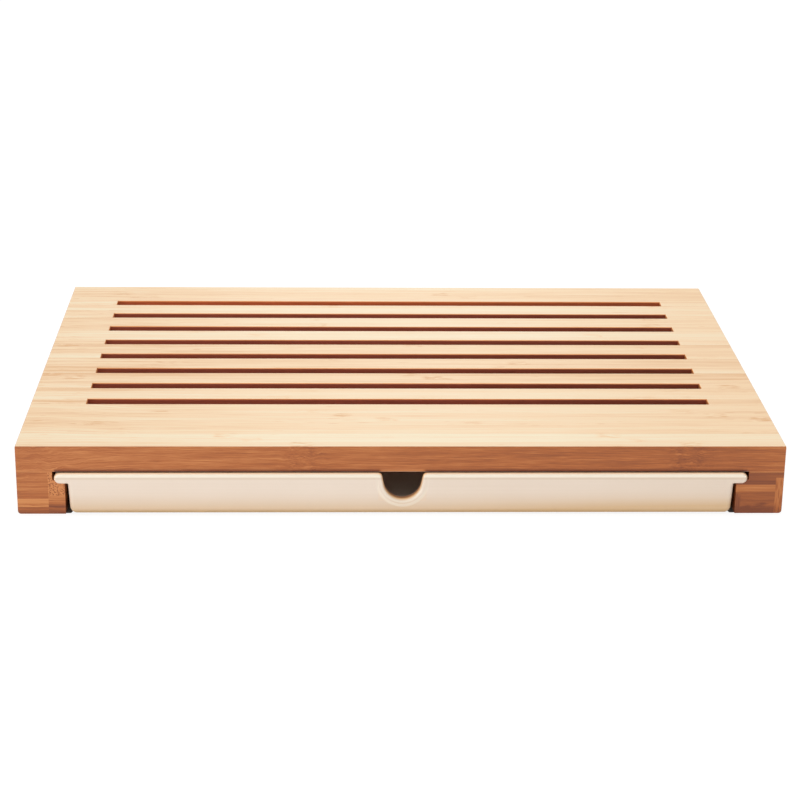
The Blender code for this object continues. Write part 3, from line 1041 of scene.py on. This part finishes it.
class BREADBOARD_OT_side_rails(bpy.types.Operator):
    """Makes the two side rails, each glued up from strips, with the groove for the tray's rim"""

    bl_idname = "breadboard.side_rails"
    bl_label = "Side rails"

    def execute(self, context):
        sizes = context.scene.bread_board
        self.make_rail(sizes, "left", -1, FIRST_LEFT_RAIL_BAR, LEFT_RAIL_SHARES)
        self.make_rail(sizes, "right", 1, FIRST_RIGHT_RAIL_BAR, RIGHT_RAIL_SHARES)
        return {"FINISHED"}

    def make_rail(self, sizes, side, sign, first_bar, strips):
        kinds = ["plies", "blocks", "posts"]
        named = {
            "ledge": 1 - sizes.groove_height / RAIL_TOP_Z,
            "groove": 1 - sizes.groove_depth / RAIL_WIDTH,
            "board": UNDERSIDE_Z / RAIL_TOP_Z,
        }
        bars = BarMesh()

        def add_strip(bar, tone, kind, outline, front_y=FRONT_Y, back_y=BACK_Y):
            places = []
            for x, z in outline:
                inward = named.get(x, x) * RAIL_WIDTH
                places.append((sign * (END_X - inward), named.get(z, z) * RAIL_TOP_Z))
            bm = prism(places, front_y, back_y)
            ease(bm, sizes.foot_corner, at(x=sign * END_X, z=0), segments=5)
            ease(bm, sizes.seam_arris, runs_back, segments=1)
            start = 0.0 if kind == "plies" else sign * END_X
            bars.add(bm, bar, start, tone, kinds.index(kind))

        for bar, (tone, kind, outline) in enumerate(strips, first_bar):
            if ("groove", "ledge") in outline:
                full = [(x, 1 if z == "ledge" else z) for x, z in outline if x != "groove"]
                add_strip(bar, tone, kind, outline, back_y=REAR_RAIL_Y)
                add_strip(bar, tone, kind, full, front_y=REAR_RAIL_Y)
            else:
                add_strip(bar, tone, kind, outline)
        add_strip(SEAM_STRIP_BAR, *SEAM_STRIP)
        name = f"{side}_rail_strips"
        finish_wood(name, bars.mesh(name), kinds, [f"{side}_rail"])


class BREADBOARD_OT_rear_rail(bpy.types.Operator):
    """Makes the rail across the back"""

    bl_idname = "breadboard.rear_rail"
    bl_label = "Rear rail"

    def execute(self, context):
        bm = prism(oblong(-LEDGE_X, 0, LEDGE_X, RAIL_TOP_Z), REAR_RAIL_Y, BACK_Y)
        ease(bm, context.scene.bread_board.foot_corner, at(y=BACK_Y, z=0), segments=5)
        bars = BarMesh()
        bars.add(bm, REAR_BAR, REAR_RAIL_Y, 0.55)
        name = "rear_rail_bar"
        finish_wood(name, bars.mesh(name), ["rear"], ["rear_rail"])
        return {"FINISHED"}


# A point of the tray front's outline: its place, the way out of the material, and how wide and how deep
# the edge is rounded there, how far it stands out from the face, how far the part behind it lies in, and
# how much of the notch's profile it has. Points on a tight corner know the corner.
EdgePoint = namedtuple("EdgePoint", "x z out_x out_z corner band depth rise rear ring")
Edge = namedtuple("Edge", "band depth rise rear ring")
Corner = namedtuple("Corner", "x z radius first_x first_z last_x last_z")


def edge_arc(centre, radius, start, end, steps, outward, first_edge, last_edge):
    """Edge points on an arc, angles in degrees. outward is 1 where the material is inside the arc."""
    ways = arc((0, 0), 1, start, end, steps)
    corner = Corner(*centre, radius, *ways[0], *ways[-1]) if outward > 0 else None
    points = []
    for step, (across, up) in enumerate(ways):
        edge = [a + (b - a) * step / steps for a, b in zip(first_edge, last_edge)]
        x, z = centre[0] + radius * across, centre[1] + radius * up
        points.append(EdgePoint(x, z, outward * across, outward * up, corner, *edge))
    return points


def tray_places(tray):
    """Places on the tray that follow from its sizes and from the rails."""
    ledge_z = RAIL_TOP_Z - bpy.context.scene.bread_board.groove_height
    rim_under = ledge_z + tray.running_gap
    ear_under = rim_under - tray.ear_drop
    front_x = LEDGE_X - tray.side_play
    notch_span = tray.notch_radius + tray.notch_corner
    shoulder_rise = (tray.notch_depth - notch_span) * math.tan(tray.notch_lean)
    return SimpleNamespace(
        shoulder_x=notch_span / math.cos(tray.notch_lean) + shoulder_rise,
        rim_under=rim_under,
        rim_top=LIP_Z - tray.lip_rise - tray.rim_step,
        ear_under=ear_under,
        ear_radius=(LIP_Z - ear_under) / 2,
        front_x=front_x,
        wall_x=front_x - tray.front_proud,
        face_y=LIP_Y + tray.notch_rise,
        inner_y=LIP_Y + tray.front_thickness,
        notch_z=LIP_Z - tray.notch_depth + tray.notch_radius,
    )


def mirrored(point):
    """An edge point's like on the other side of the middle."""
    corner = point.corner
    if corner:
        corner = corner._replace(x=-corner.x, first_x=-corner.first_x, last_x=-corner.last_x)
    return point._replace(x=-point.x, out_x=-point.out_x, corner=corner)


def front_outline(tray, places):
    """The tray front in elevation, from the bottom of the notch round to the middle of its foot."""
    lip = Edge(tray.lip_band, tray.roll_depth, tray.roll_rise, tray.lip_rear, 0.0)
    notch = Edge(tray.notch_band, tray.roll_depth, tray.notch_rise, 0.0, 1.0)
    notch_foot = notch._replace(band=tray.notch_foot_band)
    foot = Edge(tray.foot_band, tray.foot_depth, 0.0, 0.0, 0.0)
    lean = math.degrees(tray.notch_lean)
    corner, ear, fillet, low = tray.notch_corner, places.ear_radius, tray.ear_fillet, tray.foot_radius
    foot_x = places.front_x - (places.ear_under - FOOT_Z) * math.tan(tray.draft)
    arcs = (
        ((0, places.notch_z), tray.notch_radius, -90, -lean, 20, -1, notch_foot, notch),
        ((places.shoulder_x, LIP_Z - corner), corner, 180 - lean, 90, 12, 1, lip, lip),
        ((RIM_X - ear, places.ear_under + ear), ear, 90, -90, 20, 1, lip, lip),
        ((places.front_x + fillet, places.ear_under - fillet), fillet, 90, 180, 8, -1, lip, foot),
        ((foot_x - low, FOOT_Z + low), low, 0, -90, 10, 1, foot, foot),
    )
    points = [point for values in arcs for point in edge_arc(*values)]
    return points + [mirrored(point) for point in reversed(points[1:])]


HAIR = 0.00005


def set_in(point, inset):
    """Where a point lies when the outline is set in. Past a corner's centre its two sides meet."""
    corner = point.corner
    if corner is None or inset < corner.radius - HAIR:
        return point.x - point.out_x * inset, point.z - point.out_z * inset
    reach = corner.radius - inset
    spread = corner.first_x * corner.last_z - corner.first_z * corner.last_x
    meet_x = reach * (corner.last_z - corner.first_z) / spread
    meet_z = reach * (corner.first_x - corner.last_x) / spread
    return corner.x + meet_x + point.out_x * HAIR, corner.z + meet_z + point.out_z * HAIR


# The rolled edge past its rounding, for the lip and for the notch: shares of the band from the edge, and
# of the height that it stands out from the face.
LIP_PROFILE_SHARES = (
    (0.62, 1.0), (0.72, 0.93), (0.79, 0.75), (0.86, 0.5), (0.91, 0.27), (0.96, 0.08), (1.0, 0.0),
)
NOTCH_PROFILE_SHARES = (
    (0.42, 1.0), (0.52, 0.82), (0.62, 0.72), (0.73, 0.82), (0.82, 0.85), (0.91, 0.4), (1.0, 0.0),
)
ROLL_STEPS = 7
REAR_STEPS = 4
BACK_STEPS = 4


def front_rings(tray, places):
    """The front's outline, ring by ring, from its back face over the rounding to its face."""
    outline = front_outline(tray, places)
    rings = []

    def add_ring(place):
        ring = []
        for point in outline:
            inset, y = place(point)
            x, z = set_in(point, inset)
            ring.append((x, y, z))
        rings.append(ring)

    def roll_start(point):
        return places.face_y - point.rise + point.depth

    def profile(point, pair):
        """Where a point of the profile lies: its inset, and its height over the face."""
        place, height = (lip + (notch - lip) * point.ring for lip, notch in zip(*pair))
        return point.band * place, point.rise * height

    for angle in reversed(quarter_turn(BACK_STEPS)):
        inset = tray.back_round * (1 - math.cos(angle))
        y = places.inner_y - tray.back_round * (1 - math.sin(angle))
        add_ring(lambda point: (point.rear + inset, y))
    for angle in quarter_turn(REAR_STEPS):
        add_ring(lambda point: (
            point.rear * (1 - math.sin(angle)),
            roll_start(point) + tray.lip_rear * math.cos(angle),
        ))
    pairs = list(zip(LIP_PROFILE_SHARES, NOTCH_PROFILE_SHARES))
    for angle in quarter_turn(ROLL_STEPS)[1:]:
        add_ring(lambda point: (
            profile(point, pairs[0])[0] * (1 - math.cos(angle)),
            roll_start(point) - point.depth * math.sin(angle),
        ))
    for pair in pairs[1:]:
        add_ring(lambda point: (profile(point, pair)[0], places.face_y - profile(point, pair)[1]))
    return rings


def plan_ring(half_x, front_y, back_y, front_radius, back_radius, z):
    """A rectangle in plan with rounded corners, at a height z."""
    corners = (
        (half_x - front_radius, front_y + front_radius, front_radius, -90),
        (half_x - back_radius, back_y - back_radius, back_radius, 0),
        (back_radius - half_x, back_y - back_radius, back_radius, 90),
        (front_radius - half_x, front_y + front_radius, front_radius, 180),
    )
    ring = []
    for x, y, radius, start in corners:
        ring += [(x, y, z) for x, y in arc((x, y), radius, start, start + 90, 8)]
    return ring


def shell_rings(tray, places):
    """The tray's floor, walls and rim as rings in plan, from the underside round to the floor."""
    under = FOOT_Z + tray.front_proud
    foot_radius = tray.foot_radius
    rim_reach = RIM_X - places.wall_x - tray.front_proud / 4
    wall_back_y = RIM_BACK_Y - rim_reach
    outer_front_y = (LIP_Y + places.inner_y + tray.front_proud) / 2
    inner_front_y = places.inner_y + tray.front_proud
    rim_round = (places.rim_top - places.rim_under) / 2

    def drafted(z):
        return (places.rim_under - z) * math.tan(tray.draft)

    foot_z = under + foot_radius
    foot = arc((-drafted(foot_z) - foot_radius, foot_z), foot_radius, -90, 0, 8)
    rim = arc((rim_reach - rim_round, places.rim_under + rim_round), rim_round, -90, 90, 12)
    rings = []
    for reach, z in foot + [(0, places.rim_under)] + rim:
        radius = max(tray.corner_radius + reach, tray.running_gap)
        rings.append(plan_ring(places.wall_x + reach, outer_front_y, wall_back_y + reach,
                               tray.running_gap, radius, z))
    edge_round = tray.front_proud * 2
    fillet_z = under + tray.floor + tray.inner_round
    fillet_reach = -tray.wall - drafted(fillet_z) - tray.inner_round
    inside = arc((-tray.wall + edge_round, places.rim_top - edge_round), edge_round, 90, 180, 4)
    inside += arc((fillet_reach, fillet_z), tray.inner_round, 0, -90, 8)
    for reach, z in inside:
        inset = -tray.wall - reach
        radius = tray.corner_radius - tray.wall - inset
        rings.append(plan_ring(places.wall_x + reach, inner_front_y + inset, wall_back_y + reach,
                               radius, radius, z))
    return rings


def notch_cutter(tray, places):
    """A prism of the notch, a little larger than it, that opens the shell behind the front."""
    half = arc((0, places.notch_z), tray.notch_radius + tray.front_proud, -90, 0, 16)
    half += [(places.shoulder_x, LIP_Z), (places.shoulder_x, LIP_Z + tray.floor)]
    outline = half + [(-x, z) for x, z in reversed(half[1:])]
    return prism(outline, LIP_Y, places.inner_y + tray.corner_radius)


def ear_cutter(tray, places, sign):
    """A block that cuts the back of an ear clear of the rail that it laps over."""
    outline = oblong(sign * places.front_x, -tray.floor, sign * (RIM_X + tray.floor), LIP_Z + tray.floor)
    return prism(outline, FRONT_Y - tray.running_gap, BACK_Y)


def combined(target, operation, *tools):
    """The mesh of a target with tools cut away from it or joined to it. The tools go."""
    holders = [helper_object("tool", tool) for tool in tools]
    for holder in holders:
        modifier = target.modifiers.new(holder.name, "BOOLEAN")
        modifier.operation = operation
        modifier.solver = "EXACT"
        modifier.object = holder
    data = evaluated_mesh(target)
    for holder in holders:
        bpy.data.objects.remove(holder)
    return data


class BREADBOARD_OT_tray(bpy.types.Operator):
    """Makes the moulded crumb tray, with its rolled lip, finger notch, ears and rim"""

    bl_idname = "breadboard.tray"
    bl_label = "Crumb tray"

    def execute(self, context):
        tray = context.scene.crumb_tray
        places = tray_places(tray)
        front = helper_object("tray_front", lofted(front_rings(tray, places)))
        shell = helper_object("tray_shell", lofted(shell_rings(tray, places)))
        cutters = [ear_cutter(tray, places, sign) for sign in (-1, 1)]
        front_mesh = combined(front, "DIFFERENCE", *cutters)
        opened = helper_object("opened_shell", combined(shell, "DIFFERENCE", notch_cutter(tray, places)))
        data = combined(opened, "UNION", front_mesh)
        ivory = shared(new_material, "Ivory melamine", melamine_inputs)
        finish_piece("moulded_tray", data, [ivory], "tray", ["crumb_tray"])
        return {"FINISHED"}


def add_lamp(name, kind, strength, tone):
    data = bpy.data.lights.new(name, kind)
    data.energy = strength
    data.color = tone
    return helper_object(name, data)


def add_softbox(name, power, place, aim, size, tone):
    """An oblong lamp at a place, turned to what it is aimed at."""
    lamp = add_lamp(name, "AREA", power, tone)
    lamp.data.shape = "RECTANGLE"
    lamp.data.size, lamp.data.size_y = size
    lamp.location = place
    lamp.rotation_euler = (Vector(aim) - Vector(place)).to_track_quat("-Z", "Y").to_euler()


def seen_rays(graph):
    """1 on rays from the camera, on reflections and on rays through glass, and 0 on bounced light."""
    path = graph.outs("ShaderNodeLightPath")
    seen = path["Is Camera Ray"].math("MAXIMUM", path["Is Glossy Ray"])
    return seen.math("MAXIMUM", path["Is Transmission Ray"])


def floor_inputs(graph, stage):
    """A floor that is seen as white, except where the board stands on it or hides it."""
    seen = seen_rays(graph)
    x, y, _ = graph.split(graph.place())
    beside_tray = abs(x).step(LEDGE_X - 0.0045, LEDGE_X - 0.0025)
    front_y = beside_tray.spread(FRONT_Y + 0.006, FRONT_Y + 0.001)
    under_board = (abs(x) < END_X - 0.004) * (y > front_y) * (y < BACK_Y - 0.004)
    return {
        "Base_Color": graph.tint(seen, stage.floor_bounce, stage.floor_tone),
        "Roughness": 0.9,
        "Specular_IOR_Level": 0.0,
        "Emission_Color": (1.0, 1.0, 1.0),
        "Emission_Strength": seen * (1.0 - under_board) * stage.floor_glow,
    }


# The soft lamps: where each stands, what it points at, its width and height, and its tone.
FILL_LAMP = (-1.5, -2.6, 0.22), (0, FRONT_Y, 0.02), (0.7, 0.25), (1.0, 0.985, 0.97)
SHEEN_LAMP = (0.03, 1.3, 0.55), (0, 0, TOP_Z), (0.5, 0.35), (1.0, 0.99, 0.96)


class BREADBOARD_OT_stage(bpy.types.Operator):
    """Makes the floor, the light and the camera"""

    bl_idname = "breadboard.stage"
    bl_label = "Stage"

    def execute(self, context):
        stage = context.scene.board_stage
        self.make_camera(context.scene, stage)
        self.make_floor(stage)
        self.make_world(context.scene, stage)
        key = add_lamp("Key lamp", "SUN", stage.key_strength, (1.0, 0.99, 0.97))
        key.data.angle = math.radians(40)
        key.rotation_euler = (math.radians(-10), math.radians(-4), 0)
        add_softbox("Fill lamp", stage.fill_power, *FILL_LAMP)
        add_softbox("Sheen lamp", stage.sheen_power, *SHEEN_LAMP)
        context.scene.view_settings.view_transform = "Standard"
        return {"FINISHED"}

    def make_camera(self, scene, stage):
        data = bpy.data.cameras.new("Photograph's camera")
        data.lens = stage.lens
        data.sensor_width = 36.0
        data.clip_start = 0.01
        data.clip_end = 50.0
        scene.camera = helper_object("Photograph's camera", data)
        scene.camera.matrix_world = (
            Matrix.Translation(stage.camera_place)
            @ Matrix.Rotation(-stage.heading, 4, "Z")
            @ Matrix.Rotation(math.pi / 2 - stage.pitch, 4, "X")
            @ Matrix.Rotation(stage.roll, 4, "Z")
        )

    def make_floor(self, stage):
        bm = bmesh.new()
        bmesh.ops.create_grid(bm, x_segments=1, y_segments=1, size=6.0)
        floor = helper_object("studio_floor", bm)
        floor.data.materials.append(new_material("Studio floor", floor_inputs, stage))

    def make_world(self, scene, stage):
        scene.world = bpy.data.worlds.new("Studio light")
        scene.world.use_nodes = True
        scene.world.node_tree.nodes.clear()
        graph = Graph(scene.world.node_tree)
        light = graph.get("ShaderNodeBackground", 0, Color=(1.0, 1.0, 1.0),
                          Strength=seen_rays(graph).spread(stage.sky, 1.0))
        graph.add("ShaderNodeOutputWorld", Surface=light)


OPERATORS = (
    BREADBOARD_OT_stage,
    BREADBOARD_OT_long_boards,
    BREADBOARD_OT_slats,
    BREADBOARD_OT_fillers,
    BREADBOARD_OT_side_rails,
    BREADBOARD_OT_rear_rail,
    BREADBOARD_OT_tray,
)


class BREADBOARD_PT_panel(bpy.types.Panel):
    """Lists the pieces and their settings in the sidebar"""

    bl_idname = "BREADBOARD_PT_panel"
    bl_label = "Bread board"
    bl_space_type = "VIEW_3D"
    bl_region_type = "UI"
    bl_category = "Bread board"

    def draw(self, context):
        for operator in OPERATORS:
            self.layout.operator(operator.bl_idname)
        for name, group in PROPERTY_GROUPS.items():
            box = self.layout.box()
            for setting in group.__annotations__:
                box.prop(getattr(context.scene, name), setting)


CLASSES = (*PROPERTY_GROUPS.values(), *OPERATORS, BREADBOARD_PT_panel)


def register():
    for item in CLASSES:
        bpy.utils.register_class(item)
    for name, group in PROPERTY_GROUPS.items():
        setattr(bpy.types.Scene, name, PointerProperty(type=group))


def unregister():
    for name in PROPERTY_GROUPS:
        delattr(bpy.types.Scene, name)
    for item in reversed(CLASSES):
        bpy.utils.unregister_class(item)


def main():
    register()
    for operator in OPERATORS:
        group, name = operator.bl_idname.split(".")
        getattr(getattr(bpy.ops, group), name)()


if __name__ == "__main__":
    main()
